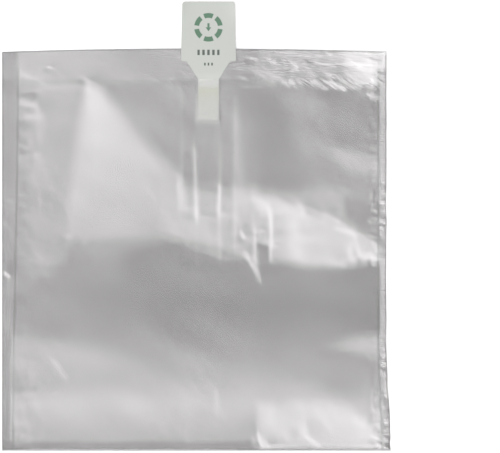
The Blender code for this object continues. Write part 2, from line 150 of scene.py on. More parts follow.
def facetShare(a, b, corners):
    # How far a place belongs to a facet: 1 well inside its edges, 0 outside
    share = 1.0
    for (a0, b0, softness), (a1, b1, _) in zip(corners, corners[1:] + corners[:1]):
        inward = ((b1 - b0) * (a - a0) - (a1 - a0) * (b - b0)) / math.hypot(a1 - a0, b1 - b0)
        share = share * smooth(inward / softness + 0.5)
    return share


def facetTilt(a, b):
    tilt = np.full_like(a, drape["restTilt"])
    for level, perRight, perUp, corners in facets.values():
        middleA, middleB = (np.mean([corner[axis] for corner in corners]) for axis in (0, 1))
        wanted = level + perRight * (a - middleA) / 100 + perUp * (b - middleB) / 100
        tilt = tilt + (wanted - tilt) * facetShare(a, b, corners)
    return tilt + drape["fan"] * (a + b - (bag["width"] + bag["height"]) / 2)


def settleWall():
    # The wall settles on the layers below until its slope towards the lower left follows the facets
    cell = drape["cell"]
    a = np.linspace(0, bag["width"], round(bag["width"] / cell) + 1)
    b = np.linspace(0, bag["height"], round(bag["height"] / cell) + 1)
    gridA, gridB = np.meshgrid(a, b)
    along = 1 / (cell * math.sqrt(2))
    across = along * math.sqrt(drape["crossWeight"])
    bend = drape["stiffness"]
    height = np.zeros_like(gridA)
    held = np.full_like(height, drape["anchor"])

    def strains(h):
        return (along * (h[1:, 1:] - h[:-1, :-1]),
                across * (h[1:, :-1] - h[:-1, 1:]),
                bend * (h[2:] - 2 * h[1:-1] + h[:-2]),
                bend * (h[:, 2:] - 2 * h[:, 1:-1] + h[:, :-2]),
                held * h)

    def pull(parts):
        force = held * parts[4]
        force[1:, 1:] += along * parts[0]
        force[:-1, :-1] -= along * parts[0]
        force[1:, :-1] += across * parts[1]
        force[:-1, 1:] -= across * parts[1]
        for part, view in ((parts[2], force), (parts[3].T, force.T)):
            view[2:] += bend * part
            view[1:-1] -= 2 * bend * part
            view[:-2] += bend * part
        return force

    wanted = facetTilt((gridA[1:, 1:] + gridA[:-1, :-1]) / 2, (gridB[1:, 1:] + gridB[:-1, :-1]) / 2)
    for _ in range(drape["rounds"]):
        goal = (wanted, 0.0, 0.0, 0.0, held * drape["leastHeight"])
        rest = pull([aim - strain for aim, strain in zip(goal, strains(height))])
        step, size = rest.copy(), (rest * rest).sum()
        for _ in range(drape["steps"]):
            answer = pull(strains(step))
            share = size / (step * answer).sum()
            height = height + share * step
            rest = rest - share * answer
            newSize = (rest * rest).sum()
            step, size = rest + newSize / size * step, newSize
        held = np.where(height < drape["leastHeight"], drape["holdWeight"], drape["anchor"])
    return a, b, height


def cubicWeights(t):
    return (-0.5 * t + t**2 - 0.5 * t**3, 1 - 2.5 * t**2 + 1.5 * t**3,
            0.5 * t + 2 * t**2 - 1.5 * t**3, -0.5 * t**2 + 0.5 * t**3)


settledA, settledB, settled = settleWall()
print("wall settled, from", settled.min().round(2), "to", settled.max().round(2), "mm over its welds")


def swell(a, b):
    # Height of the front wall over its welds, from the settled grid
    rows, columns = settled.shape
    placeA = np.clip((a - settledA[0]) / (settledA[1] - settledA[0]), 0, columns - 1.0001)
    placeB = np.clip((b - settledB[0]) / (settledB[1] - settledB[0]), 0, rows - 1.0001)
    firstA, firstB = placeA.astype(int), placeB.astype(int)
    weightsA, weightsB = cubicWeights(placeA - firstA), cubicWeights(placeB - firstB)
    total = np.zeros_like(a)
    for i in range(4):
        row = np.clip(firstB + i - 1, 0, rows - 1)
        for j in range(4):
            total += weightsB[i] * weightsA[j] * settled[row, np.clip(firstA + j - 1, 0, columns - 1)]
    return total


# Sharp creases in the front wall, in mm: (half width, height, then a and b of each point on the way)
creases = {
    "valve": [
        (0.9, 0.02, 141, 281.5, 140.8, 210.9), (0.9, 0.045, 140.8, 216.4, 141, 190.4),
        (0.8, 0.04, 138.2, 217, 138.5, 188.9), (0.9, 0.008, 133.5, 287.8, 133.7, 236),
        (1.1, 0.085, 151, 237.5, 152.7, 182.6), (1, 0.035, 152.3, 190.3, 152.4, 146.5),
        (0.9, 0.035, 171.4, 243.8, 170.7, 204.6), (0.9, 0.1, 170.9, 209.3, 170, 184.9),
        (1, 0.035, 170.3, 190.3, 170.9, 144.9), (1, 0.025, 183, 278.4, 182.7, 199.9),
        (1.1, 0.035, 182.7, 207.7, 183.1, 154.3), (3.2, 0.08, 183.9, 265.8, 185, 228.1, 188.2, 199.9),
        (4, 0.07, 159.9, 176.3, 164.6, 146.5), (2.4, 0.06, 145, 168.5, 148.1, 149.6),
        (1.6, 0.04, 142.6, 209.3, 144.6, 185.7),
    ],
    "band": [
        (0.9, 0.13, 208.6, 190.8, 211, 184.2, 211.5, 160), (0.8, 0.06, 211.5, 163, 210.3, 147.5),
        (2.4, 0.07, 196, 197.5, 204.6, 195.9, 210.9, 186.5), (0.9, 0.09, 198.1, 174, 198.4, 148.1),
        (0.9, 0.07, 197.6, 172.4, 206.2, 172.4), (1.7, 0.11, 190.5, 155.9, 196.8, 143.3, 203.1, 130.8),
        (0.9, 0.11, 187.4, 172.4, 190.1, 166.1), (4.6, 0.17, 231.3, 190.4, 228.6, 168.5, 233.7, 148.1),
        (1.2, 0.09, 234.5, 192, 237.2, 182.6), (0.9, 0.14, 269.8, 174, 270.7, 173.2),
        (0.8, 0.08, 278.4, 168.5, 274, 162.2, 271.4, 152), (0.9, 0.05, 275.7, 155.9, 272.9, 152.4),
        (1, 0.09, 280, 153.5, 290.2, 155.1, 300.4, 158.3),
        (1, 0.1, 279.2, 152.4, 290.2, 151.6, 299.6, 149.6),
        (1.6, 0.05, 233.7, 192.8, 269, 177.9, 299.6, 157.5),
        (1.4, 0.08, 262, 174, 271.4, 172, 277.7, 168.5),
        (1.5, 0.06, 253.3, 148.1, 265.1, 146.5, 269.8, 143.3),
        (2, 0.025, 219.6, 206.9, 225.8, 199.9, 236, 192), (2, 0.05, 251, 192.8, 254.1, 184.2),
    ],
    "wedge": [
        (1.6, 0.045, 61, 237.5, 68.1, 243, 75.9, 248.5),
        (2, 0.03, 70.4, 279.1, 74.3, 251.7, 73.6, 212.4), (1, 0.08, 42.9, 222.2, 43.4, 221.2),
        (1.5, 0.03, 46.1, 256.8, 57.1, 261.9), (1.4, 0.05, 50, 170.8, 53.9, 166.9),
        (1, 0.08, 64.9, 286.6, 67.3, 289.7, 69.6, 287.4),
        (0.9, 0.08, 69.6, 290.5, 73.2, 286.6, 68.8, 284.6), (1.2, 0.05, 67.3, 284.6, 69.6, 279.9),
        (1.4, 0.035, 108.1, 214, 117.5, 199.9),
    ],
    "leftSide": [
        (1, 0.16, 36.7, 302.3, 37.8, 300.7), (1.2, 0.04, 26.5, 293.3, 30.8, 289, 34.3, 285.8),
        (1.2, 0.03, 13.9, 298.8, 17, 294.1, 24.1, 293.3), (2.6, 0.09, 13.9, 276, 27.2, 268.5),
        (1.6, 0.07, 26.5, 272.1, 27.2, 262.7), (1.8, -0.06, 13.1, 279.3, 28.8, 279.1),
        (1.6, 0.05, 15.5, 263.4, 31.9, 261.1), (1.4, 0.04, 14.7, 244.2, 24.9, 243),
        (1.4, -0.04, 14.7, 234.4, 21.7, 233.9), (1.2, 0.05, 29.6, 199.9, 30.4, 192.8),
        (2, 0.04, 35.1, 206.9, 41.4, 204.6), (1.3, 0.05, 41.4, 71.1, 45.3, 66.4, 50.4, 56.2),
        (3.5, 0.05, 35.9, 148.1, 31.2, 141.8), (1, 0.15, 1.5, 139.5, 7.5, 136.5),
        (1.3, 0.06, 0.5, 179.5, 5.5, 186, 10.5, 193),
    ],
    "topWeld": [
        (1, 0.11, 225.1, 290.5, 230.9, 286.2), (1, 0.07, 220.3, 290.1, 225.8, 285),
        (0.9, 0.1, 242.3, 290.9, 244.3, 285.8), (0.9, 0.1, 244.3, 290.5, 254.9, 283.1),
        (0.9, 0.13, 252.5, 290.5, 262.7, 284.2), (0.9, 0.15, 256.5, 290.9, 270.2, 282.3),
        (0.9, 0.12, 265.9, 290.9, 275.3, 284.6), (0.9, 0.1, 272.9, 288.9, 281.6, 287.3),
        (1, 0.14, 283.1, 287.8, 289.4, 290, 295.7, 290.1), (0.9, 0.1, 276.9, 291.7, 279.2, 287.8),
        (0.9, 0.1, 288.6, 292.9, 291.8, 290.1), (1.2, 0.13, 285.5, 281.1, 291, 277.3, 296.5, 277.9),
        (1, 0.07, 231.3, 290.9, 235.3, 287.8), (0.9, 0.03, 186.6, 286, 203.9, 286.2),
        (0.9, 0.06, 187, 292.9, 192.5, 290.9), (0.9, 0.05, 128.5, 287.4, 132, 291.7, 134.8, 296.8),
        (0.9, 0.035, 137.9, 287.8, 140.3, 283.1), (1, 0.03, 142.6, 295.6, 147.3, 290.9),
        (1, 0.02, 114.4, 290.9, 130.1, 290.5),
    ],
    "header": [
        (0.9, 0.1, 247.8, 304, 269, 304.4, 296.5, 303.6),
        (1.6, 0.12, 274.5, 303.5, 289.4, 299.7, 297.3, 301.5),
        (1.3, 0.1, 225.8, 304.6, 229.8, 303.8, 233.3, 297.2), (1, 0.07, 236, 304.6, 239.2, 301.9),
        (1, 0.1, 254.1, 314.1, 258.8, 311.3), (1.1, 0.09, 265.1, 312.9, 272.9, 312.1),
        (0.9, 0.1, 192.1, 308.2, 199.5, 308.2), (0.9, 0.1, 209.4, 306, 215.6, 305.5),
        (1, 0.07, 269.8, 295.2, 278.4, 294.8), (1, 0.08, 254.1, 295.6, 265.9, 292.9),
        (1.4, 0.06, 218, 312.1, 233.7, 313.7), (1.2, 0.08, 237.6, 309.8, 257.2, 310.5, 274.5, 308.2),
        (1.4, 0.05, 183.5, 301.9, 203.9, 297.2), (1.6, 0.05, 203.9, 300.3, 214.9, 292.5),
        (1, 0.1, 282.4, 297.2, 290.2, 293.7),
    ],
    "foot": [
        (0.9, 0.14, 200.3, 13, 205.4, 0.9), (0.9, 0.08, 205.4, 7.5, 209.8, 0.9),
        (0.9, 0.08, 196.5, 10.7, 198, 0.9), (1, 0.1, 236.4, 22.5, 236.5, 11.5, 248.6, 2.8),
        (1.6, 0.05, 229.8, 40.5, 236, 30.3), (1.8, 0.08, 272.9, 24.8, 283.9, 18.5),
        (1.4, 0.06, 168.2, 50.7, 168.5, 28.7), (1.1, 0.03, 147.3, 33.4, 145, 20.9, 144.2, 8.3),
        (2.2, 0.05, 247, 28.7, 258, 15.4), (0.9, 0.05, 232.9, 20.9, 233.2, 7.5),
        (0.9, 0.06, 207, 4, 249.4, 5.2, 293.4, 3.6), (2.4, 0.05, 210.1, 35.8, 211.7, 17.7),
        (1.2, 0.06, 221.1, 14.6, 224.3, 7.5),
    ],
}
# Small pleats at the side welds: how strong they are at each height, and how far they run in
pleats = {
    "left": {
        "edge": airLeft, "into": 1, "pitch": 8.5, "halfWidth": 1.6, "length": (5, 16), "seed": 4,
        "strength": [(0, 0.03), (60, 0.03), (110, 0.02), (200, 0.025), (260, 0.045), (290, 0.04)],
    },
    "right": {
        "edge": airRight, "into": -1, "pitch": 4.4, "halfWidth": 0.7, "length": (2, 8), "seed": 9,
        "strength": [(0, 0.07), (30, 0.05), (60, 0.02), (85, 0.04), (100, 0.01), (140, 0.03), (172, 0.05),
                     (204, 0.05), (215, 0.02), (225, 0.04), (240, 0.02), (275, 0.04), (290, 0.04)],
    },
}
# The pleats' random shares of their height, width and pitch, and their slope
pleatRanges = {"tall": (0.5, 1.2), "slope": (-0.35, 0.35), "width": (0.8, 1.3), "gap": (0.6, 1.4)}
# How crumpled the outer right flange is, and how ragged its edge, at each height
crumple = {
    "flange": [(0, 1), (85, 0.9), (100, 0.1), (165, 0.1), (178, 0.9), (212, 0.8), (222, 0.15), (280, 0.2),
               (300, 0.8)],
    "edge": [(0, 1), (90, 1), (105, 0.2), (165, 0.2), (180, 1), (212, 1), (225, 0.2), (316, 0.4)],
    "flangeShare": 0.55, "cornerShare": 0.3, "headerShare": 0.08, "edgeDepth": 0.3, "edgePitch": 9,
    # Start and reach of ramps: flangeA, edgeA from the right weld, cornerB, headerB from the top weld
    "flangeA": (1.5, 2), "edgeA": (2, 3), "cornerA": (270, 25), "cornerB": (-6, 8),
    "headerA": (225, 40), "headerB": (0, 5),
    "fine": 0.025, "finePitch": 3, "broad": 0.05, "broadPitch": 6,
}


def addCrease(height, a, b, halfWidth, tall, points):
    # A small step that faces the lower left and levels out slowly at both sides
    whole = sum(math.dist(*ends) for ends in zip(points, points[1:]))
    least, growth, most = drape["creaseSpread"]
    spread = min(most * halfWidth, least * halfWidth + growth * whole)
    for (a0, b0), (a1, b1) in zip(points, points[1:]):
        length = math.hypot(a1 - a0, b1 - b0)
        reach = length / 2 + drape["creaseReach"] * spread
        near = (np.abs(a - (a0 + a1) / 2) < reach) & (np.abs(b - (b0 + b1) / 2) < reach)
        ahead = ((a[near] - a0) * (a1 - a0) + (b[near] - b0) * (b1 - b0)) / length
        aside = ((a[near] - a0) * (b1 - b0) - (b[near] - b0) * (a1 - a0)) / length
        aside *= 1 if b1 - b0 > a1 - a0 else -1
        fade = min(length / 2, drape["creaseFade"] * halfWidth)
        ends = smooth((ahead + fade / 2) / fade) * smooth((length + fade / 2 - ahead) / fade)
        height[near] += tall / 2 * ends * np.tanh(aside / halfWidth) * np.exp(-(aside / spread) ** 2)


def addPleats(height, a, b, edge, into, pitch, halfWidth, length, seed, strength):
    random = np.random.default_rng(seed)
    place = 4.0
    while place < weldBottom - 2:
        tall = np.interp(place, *zip(*strength)) * random.uniform(*pleatRanges["tall"])
        reach = random.uniform(*length)
        lean = random.uniform(*pleatRanges["slope"]) * reach
        points = [(edge + into * 0.4, place), (edge + into * reach, place + lean)]
        addCrease(height, a, b, halfWidth * random.uniform(*pleatRanges["width"]), tall, points)
        place += pitch * random.uniform(*pleatRanges["gap"])


def rampUp(value, start, reach):
    return smooth((value - start) / reach)


def wrinkles(a, b):
    height = sum(tall * ripple(a, b, pitch, seed) for tall, pitch, seed in drape["waves"])
    for region in creases.values():
        for halfWidth, tall, *places in region:
            points = list(zip(places[::2], places[1::2]))
            addCrease(height, a, b, halfWidth, drape["creaseStrength"] * tall, points)
    for side in pleats.values():
        addPleats(height, a, b, **side)
    # The outer right flange and the upper right corner are crumpled
    flange = rampUp(a - airRight, *crumple["flangeA"]) * np.interp(b, *zip(*crumple["flange"]))
    corner = rampUp(a, *crumple["cornerA"]) * rampUp(b - weldTop, *crumple["cornerB"])
    header = rampUp(a, *crumple["headerA"]) * rampUp(b - weldTop, *crumple["headerB"])
    share = np.maximum(crumple["flangeShare"] * flange, crumple["cornerShare"] * corner)
    share = np.maximum(share, crumple["headerShare"] * header)
    folds = crumple["fine"] * ripple(a, b, crumple["finePitch"], seed=6)
    folds += crumple["broad"] * ripple(a * 0.5, b, crumple["broadPitch"], seed=7)
    return height + share * folds


def layA(a, b):
    # Where the sheet's a comes to lie: its lower right corner spreads and the left weld leans out
    share = np.clip((a - bag["width"] / 2) / (bag["width"] / 2), 0.0, 1.0)
    flared = a + bag["cornerFlare"] * share**2 * smooth(1 - b / bag["flareHeight"])
    weld = bag["leftFlange"] + bag["sideWeld"] / 2
    follow = np.where(a < weld, a / weld, np.clip(1 - (a - weld) / bag["splayReach"], 0.0, 1.0))
    ragged = rampUp(a - airRight, *crumple["edgeA"]) * np.interp(b, *zip(*crumple["edge"]))
    lean = bag["weldSplay"] * follow * smooth((weldTop - b) / weldTop)
    rough = ripple(a * 0, b, crumple["edgePitch"], seed=12)
    return flared - lean + crumple["edgeDepth"] * ragged * rough


def layB(a, b):
    share = (a - bag["width"] / 2) / (bag["width"] / 2)
    over = np.clip((b - weldTop) / (bag["height"] - weldTop), 0.0, None)
    return b - bag["topBow"] * over * share * share


valve = {
    "filmSpacing": 0.05, "stemLift": 0.01, "stemWidth": 16.1, "hug": 2.2, "shoulder": 12,
    "slitClearance": 0.9, "slitOpening": 1.2, "slitSetback": 0.4, "step": 1,
    "colour": (0.36, 0.36, 0.35), "alpha": 0.05, "roughness": 0.3, "coating": (0.62, 0.64, 0.6),
    # Shares of the films' width and of their length
    "channelHalf": 0.235, "channelEdge": 0.02, "coatedFrom": 0.6, "coatedEdge": 0.08,
}
stripHalf = (stripHigh[0] - stripLow[0]) / 2
stemHalf = valve["stemWidth"] / 2
slitHalf = stemHalf + valve["slitClearance"]
slitLow = weldTop + valve["slitSetback"]
slitHigh = slitLow + valve["slitOpening"]
stemEnd = tabLow[1] - bottom
stripEnd = stripLow[1] - bottom


def restLevel(a, b):
    # The front wall without the tab's stem under it
    puff = drape["foldPuff"] * (1 - smooth(b / drape["puffReach"]))
    fromStem = np.maximum(np.abs(a - valveA) - stemHalf, stemEnd - b)
    waves = wrinkles(a, b) * smooth(fromStem / drape["waveFade"])
    return bag["weldLevel"] + swell(a, b) + puff + waves


def overStem(a, b):
    # How far a film is pushed aside by the tab's stem: 1 over it, 0 away from it
    beside = smooth((stemHalf + valve["hug"] - np.abs(a - valveA)) / valve["hug"])
    return beside * smooth((b - stemEnd + valve["shoulder"]) / valve["shoulder"])


def backLevel(a, b):
    # The back wall lies on the table and comes up to the front wall at the welds
    toWeld = np.minimum(np.minimum(a - airLeft, airRight - a), weldBottom - b)
    near = 1 - smooth(toWeld / bag["rimLift"])
    rise = near * (restLevel(a, b) - bag["weldLevel"]) - bag["wallGap"]
    return bag["backLevel"] + 0.5 * (rise + np.hypot(rise, bag["wallGap"]))


def frontLevel(a, b):
    return restLevel(a, b) + valve["stemLift"] * overStem(a, b) * (b < slitLow + 0.1)


leastStop = 0.12


def stops(marks, step):
    # The marks in order, less any that is too near the last stop, with even stops between them
    marks = sorted(marks)
    places = [marks[0]]
    for mark in marks[1:]:
        if mark - places[-1] < leastStop:
            continue
        apart = step((mark + places[-1]) / 2) if callable(step) else step
        count = math.ceil((mark - places[-1]) / apart - 0.01)
        places += list(np.linspace(places[-1], mark, max(1, count) + 1)[1:])
    return np.array(places)


def aroundStem(*halves):
    return [valveA + side * half for half in halves for side in (-1, 1)]


def makeMesh(name, points, faces, flat=None):
    mesh = bpy.data.meshes.new(name)
    mesh.from_pydata((points * mm + [left * mm, bottom * mm, 0]).tolist(), [], faces.tolist())
    mesh.shade_smooth()
    if flat is not None:
        corners = np.empty(len(mesh.loops), int)
        mesh.loops.foreach_get("vertex_index", corners)
        mesh.uv_layers.new(name="flat").data.foreach_set("uv", flat[corners].ravel())
    piece = bpy.data.objects.new(name, mesh)
    bpy.context.collection.objects.link(piece)
    return piece


def gridFaces(rows, columns, keep=None):
    first = np.arange(rows - 1)[:, None] * columns + np.arange(columns - 1)[None, :]
    first = first[keep] if keep is not None else first.ravel()
    return np.stack([first, first + 1, first + columns + 1, first + columns], axis=-1)


def columnStep(a):
    return bag["columnStep"] if bag["leftFine"] <= a <= bag["rightFine"] else bag["fineColumnStep"]


def rowStep(b):
    if b > bag["headerLow"]:
        return bag["headerRowStep"]
    fine = b < bag["footTop"] or bag["bandLow"] < b < bag["bandTop"]
    return bag["fineRowStep"] if fine else bag["rowStep"]


def backRowStep(b):
    return bag["backRowStep"] if bag["footTop"] < b < bag["backRimLow"] else bag["backRimStep"]


def makeBagFilm():
    columns = [0, bag["leftFlange"], airLeft, bag["leftFine"], bag["rightFine"], airRight,
               bag["width"] - bag["rightFlange"], bag["width"]]
    columns += aroundStem(stemHalf, stemHalf + valve["hug"], slitHalf, stripHalf)
    columns = stops(columns, columnStep)
    reach = bag["foldReach"]
    rows = stops([reach, bag["footTop"], bag["bandLow"], bag["bandTop"], bag["headerLow"],
                  stemEnd, stemEnd - valve["shoulder"], weldBottom, weldTop, slitLow, slitHigh,
                  weldTop + bag["weldOverrun"], bag["height"]], rowStep)
    b, a = np.meshgrid(rows, columns, indexing="ij")
    front = frontLevel(a, b)
    # The back wall, from its top edge down to the fold, then the fold, then the front wall
    backRows = stops([reach, bag["footTop"], bag["backRimLow"], bag["height"]], backRowStep)[::-1]
    backB, backA = np.meshgrid(backRows, columns, indexing="ij")
    back = backLevel(backA, backB)
    turn = np.radians([-60, -30, 0, 30, 60])[:, None]
    foldB = reach * (1 - np.cos(turn)) + 0 * columns
    foldRise = (front[0] - back[-1]) / 2
    fold = back[-1] + foldRise * (1 + np.sin(turn))
    foldA = columns + 0 * turn
    allA, allB = np.concatenate([backA, foldA, a]), np.concatenate([backB, foldB, b])
    level = np.concatenate([back, fold, front])
    points = np.stack([layA(allA, allB), layB(allA, allB), level], axis=-1).reshape(-1, 3)
    along = np.concatenate([-backB[:, 0], [0] * len(turn), rows]) + bag["height"]
    flat = np.stack([allA, along[:, None] + 0 * columns], axis=-1).reshape(-1, 2) / (2 * bag["height"])
    rowCount, columnCount = level.shape
    keep = np.ones((rowCount - 1, columnCount - 1), bool)
    middle = (columns[1:] + columns[:-1]) / 2
    slitRow = len(backB) + len(turn) + int(np.argmin(np.abs(rows - slitLow)))
    keep[slitRow, np.abs(middle - valveA) < slitHalf] = False
    piece = makeMesh("bagFilm", points, gridFaces(rowCount, columnCount, keep), flat)
    ofBack = np.repeat((np.arange(rowCount - 1) < len(backB) + 1).astype(int), keep.sum(axis=1))
    return piece, ofBack


def group(name, inputs, outputs):
    # A node group with named sockets: (name, kind) pairs
    tree = bpy.data.node_groups.new(name, "ShaderNodeTree")
    for direction, sockets in (("INPUT", inputs), ("OUTPUT", outputs)):
        for label, kind in sockets:
            tree.interface.new_socket(label, in_out=direction, socket_type="NodeSocket" + kind)
    return tree, tree.nodes.new("NodeGroupInput"), tree.nodes.new("NodeGroupOutput")


def feed(tree, value, socket):
    # A number or a colour is set, anything else is linked
    if isinstance(value, (int, float)):
        socket.default_value = value
    elif isinstance(value, tuple):
        socket.default_value = (*value, 1.0)
    elif value is not None:
        tree.links.new(value, socket)


def mathNode(tree, operation, first, second=None, third=None, clamp=False):
    node = tree.nodes.new("ShaderNodeMath")
    node.operation = operation
    node.use_clamp = clamp
    for value, socket in zip((first, second, third), node.inputs):
        feed(tree, value, socket)
    return node.outputs[0]


def times(tree, first, second):
    return mathNode(tree, "MULTIPLY", first, second)


def rampNode(tree, value, start, reach):
    # 0 up to the start and 1 past the reach; a negative reach runs the other way
    return mathNode(tree, "DIVIDE", mathNode(tree, "SUBTRACT", value, start), reach, clamp=True)


def bandNode(tree, value, middle, half, soft):
    off = mathNode(tree, "ABSOLUTE", mathNode(tree, "SUBTRACT", value, middle))
    return rampNode(tree, off, half + soft / 2, -soft)


def partsOf(tree, place):
    parts = tree.nodes.new("ShaderNodeSeparateXYZ")
    feed(tree, place, parts.inputs[0])
    return parts.outputs


def flatPlace(tree):
    flat = tree.nodes.new("ShaderNodeUVMap")
    flat.uv_map = "flat"
    return flat.outputs[0]


def solidPlace(tree, kind="Object"):
    return tree.nodes.new("ShaderNodeTexCoord").outputs[kind]


def noiseNode(tree, place, scale, detail=2.0, roughness=0.5):
    node = tree.nodes.new("ShaderNodeTexNoise")
    node.inputs["Detail"].default_value = detail
    node.inputs["Roughness"].default_value = roughness
    feed(tree, place, node.inputs["Vector"])
    feed(tree, scale, node.inputs["Scale"])
    return node.outputs[0]


film = {
    # The rim colours, the rim width and the fold's share of it paint a thin dark shade along the sheet's
    # edges and its fold
    "shine": (0.93, 0.912, 0.92), "shineWeld": (0.72, 0.72, 0.72), "shineRim": (0.35, 0.35, 0.35),
    "shineAlpha": 0.218, "roughness": 0.15, "roughnessSpread": 0.08,
    "back": (0.1866, 0.1814, 0.1833), "backWeld": (0.1614, 0.1576, 0.1576),
    "backRim": (0.1305, 0.1305, 0.1305), "backAlpha": 0.95, "backMottle": 1.05, "backRoughness": 0.5,
    "grainPitch": 420, "grainDetail": 3, "grainRoughness": 0.55, "mottlePitch": 14,
    "grainStrength": 0.2, "grainDepth": 0.000002, "grainShare": 0.02,
    "weldEdge": 0.8, "weldInset": 0.3, "topWeldShare": 0.35, "rimShadeWidth": 1.3, "foldRimShadeShare": 0.5,
}
scuff = {
    "headerPitch": (8, 0.9), "headerRamp": (40, 190), "stitchPitch": (7, 1.1),
    "stitchRamp": (222, 25), "stitchShare": 1.6, "stitchLean": -35,
    "headerStart": -1, "headerReach": 4, "flangeStart": 1, "flangeReach": 1.5,
    "stitchUp": -3, "stitchHalf": 4, "stitchEdge": 3,
    "detail": 1.5, "sharpness": 3, "depth": 0.00006,
}


def makeGrain():
    # Fine waves for bumps, and a slow mottle for roughness and colour
    tree, given, result = group("filmGrain", [("Place", "Vector"), ("Pitch", "Float")],
                                [("Height", "Float"), ("Mottle", "Float")])
    waves = noiseNode(tree, given.outputs["Place"], given.outputs["Pitch"],
                      film["grainDetail"], film["grainRoughness"])
    slow = noiseNode(tree, given.outputs["Place"], film["mottlePitch"])
    feed(tree, waves, result.inputs["Height"])
    feed(tree, slow, result.inputs["Mottle"])
    return tree


def makeWeldMask():
    # Masks on the flat sheet: its welds, a thin band of painted shade along its edges and fold, and the
    # two stretches with scratches
    tree, given, result = group("weldMask", [("Flat", "Vector")], [
        ("Weld", "Float"), ("Rim", "Float"), ("Scuffed", "Float"), ("Stitched", "Float")])
    parts = partsOf(tree, given.outputs["Flat"])
    whole = 2 * bag["height"]
    across = times(tree, parts[0], whole)
    fromFold = mathNode(tree, "MULTIPLY_ADD", parts[1], whole, -bag["height"])
    up = mathNode(tree, "ABSOLUTE", fromFold)
    below = mathNode(tree, "LESS_THAN", up, weldTop + bag["weldOverrun"])
    edge = film["weldEdge"]
    middle = bag["sideWeld"] / 2
    half = middle - film["weldInset"]
    starts = (bag["leftFlange"], airRight)
    sides = [bandNode(tree, across, start + middle, half, edge) for start in starts]
    sides = mathNode(tree, "MAXIMUM", *sides)
    top = bandNode(tree, up, (weldTop + weldBottom) / 2, bag["topWeld"] / 2, edge)
    sides = times(tree, sides, below)
    weld = mathNode(tree, "MAXIMUM", sides, times(tree, top, film["topWeldShare"]))
    feed(tree, weld, result.inputs["Weld"])
    # A thin band of painted shade, darkest right at the sheet's edges and along its fold
    half = bag["width"] / 2
    fromMiddle = mathNode(tree, "ABSOLUTE", mathNode(tree, "SUBTRACT", across, half))
    toSide = mathNode(tree, "SUBTRACT", half, fromMiddle)
    toEdge = mathNode(tree, "MINIMUM", toSide, mathNode(tree, "SUBTRACT", bag["height"], up))
    toEdge = mathNode(tree, "MINIMUM", toEdge, times(tree, up, film["foldRimShadeShare"]))
    feed(tree, rampNode(tree, toEdge, film["rimShadeWidth"], -film["rimShadeWidth"]), result.inputs["Rim"])
    header = rampNode(tree, up, weldTop + scuff["headerStart"], scuff["headerReach"])
    header = times(tree, header, rampNode(tree, across, *scuff["headerRamp"]))
    flange = rampNode(tree, across, airRight + scuff["flangeStart"], scuff["flangeReach"])
    feed(tree, mathNode(tree, "MAXIMUM", header, flange), result.inputs["Scuffed"])
    stitched = bandNode(tree, up, weldTop + scuff["stitchUp"], scuff["stitchHalf"], scuff["stitchEdge"])
    stitched = times(tree, stitched, rampNode(tree, across, *scuff["stitchRamp"]))
    feed(tree, stitched, result.inputs["Stitched"])
    return tree


def makeScuffs():
    # Fine scratches along the loose header and slanting ones over the right end of the top weld
    tree, given, result = group("filmScuffs", [
        ("Place", "Vector"), ("Scuffed", "Float"), ("Stitched", "Float")], [("Height", "Float")])
    parts = partsOf(tree, given.outputs["Place"])

    def streaks(lean, longPitch, shortPitch):
        ahead = (math.cos(math.radians(lean)), math.sin(math.radians(lean)))
        aside = (-ahead[1], ahead[0])
        place = tree.nodes.new("ShaderNodeCombineXYZ")
        for socket, way, pitch in ((0, ahead, longPitch), (1, aside, shortPitch)):
            part = times(tree, parts[0], way[0] / pitch / mm)
            part = mathNode(tree, "MULTIPLY_ADD", parts[1], way[1] / pitch / mm, part)
            feed(tree, part, place.inputs[socket])
        streak = noiseNode(tree, place.outputs[0], 1.0, scuff["detail"])
        return mathNode(tree, "POWER", streak, scuff["sharpness"])

    flat = times(tree, streaks(0, *scuff["headerPitch"]), given.outputs["Scuffed"])
    slanted = streaks(scuff["stitchLean"], *scuff["stitchPitch"])
    slanted = times(tree, slanted, given.outputs["Stitched"])
    height = mathNode(tree, "MULTIPLY_ADD", slanted, scuff["stitchShare"], flat)
    feed(tree, height, result.inputs["Height"])
    return tree


filmGrain = makeGrain()
weldMask = makeWeldMask()
filmScuffs = makeScuffs()


def newMaterial(name, roughness, metallic=0.0, alpha=1.0):
    material = bpy.data.materials.new(name)
    material.use_nodes = True
    tree = material.node_tree
    shader = tree.nodes["Principled BSDF"]
    for label, value in (("Roughness", roughness), ("Metallic", metallic), ("Alpha", alpha)):
        shader.inputs[label].default_value = value
    return material, tree, shader


def useGroup(tree, kind):
    node = tree.nodes.new("ShaderNodeGroup")
    node.node_tree = kind
    return node


def addGrain(tree, pitch):
    grain = useGroup(tree, filmGrain)
    feed(tree, solidPlace(tree), grain.inputs["Place"])
    grain.inputs["Pitch"].default_value = pitch
    return grain


def bumpFrom(tree, shader, height, strength, distance):
    bump = tree.nodes.new("ShaderNodeBump")
    bump.inputs["Strength"].default_value = strength
    bump.inputs["Distance"].default_value = distance
    feed(tree, height, bump.inputs["Height"])
    feed(tree, bump.outputs[0], shader.inputs["Normal"])


def mixColour(tree, factor, first, second):
    mix = tree.nodes.new("ShaderNodeMix")
    mix.data_type = "RGBA"
    for value, index in ((factor, 0), (first, 6), (second, 7)):
        feed(tree, value, mix.inputs[index])
    return mix.outputs[2]


def addWelds(tree, shader, colour, side):
    # The sheet's colour, with its welds and a thin band of painted shade along its edges and fold
    mask = useGroup(tree, weldMask)
    feed(tree, flatPlace(tree), mask.inputs["Flat"])
    for label in ("Weld", "Rim"):
        colour = mixColour(tree, mask.outputs[label], colour, film[side + label])
    feed(tree, colour, shader.inputs["Base Color"])
    return mask


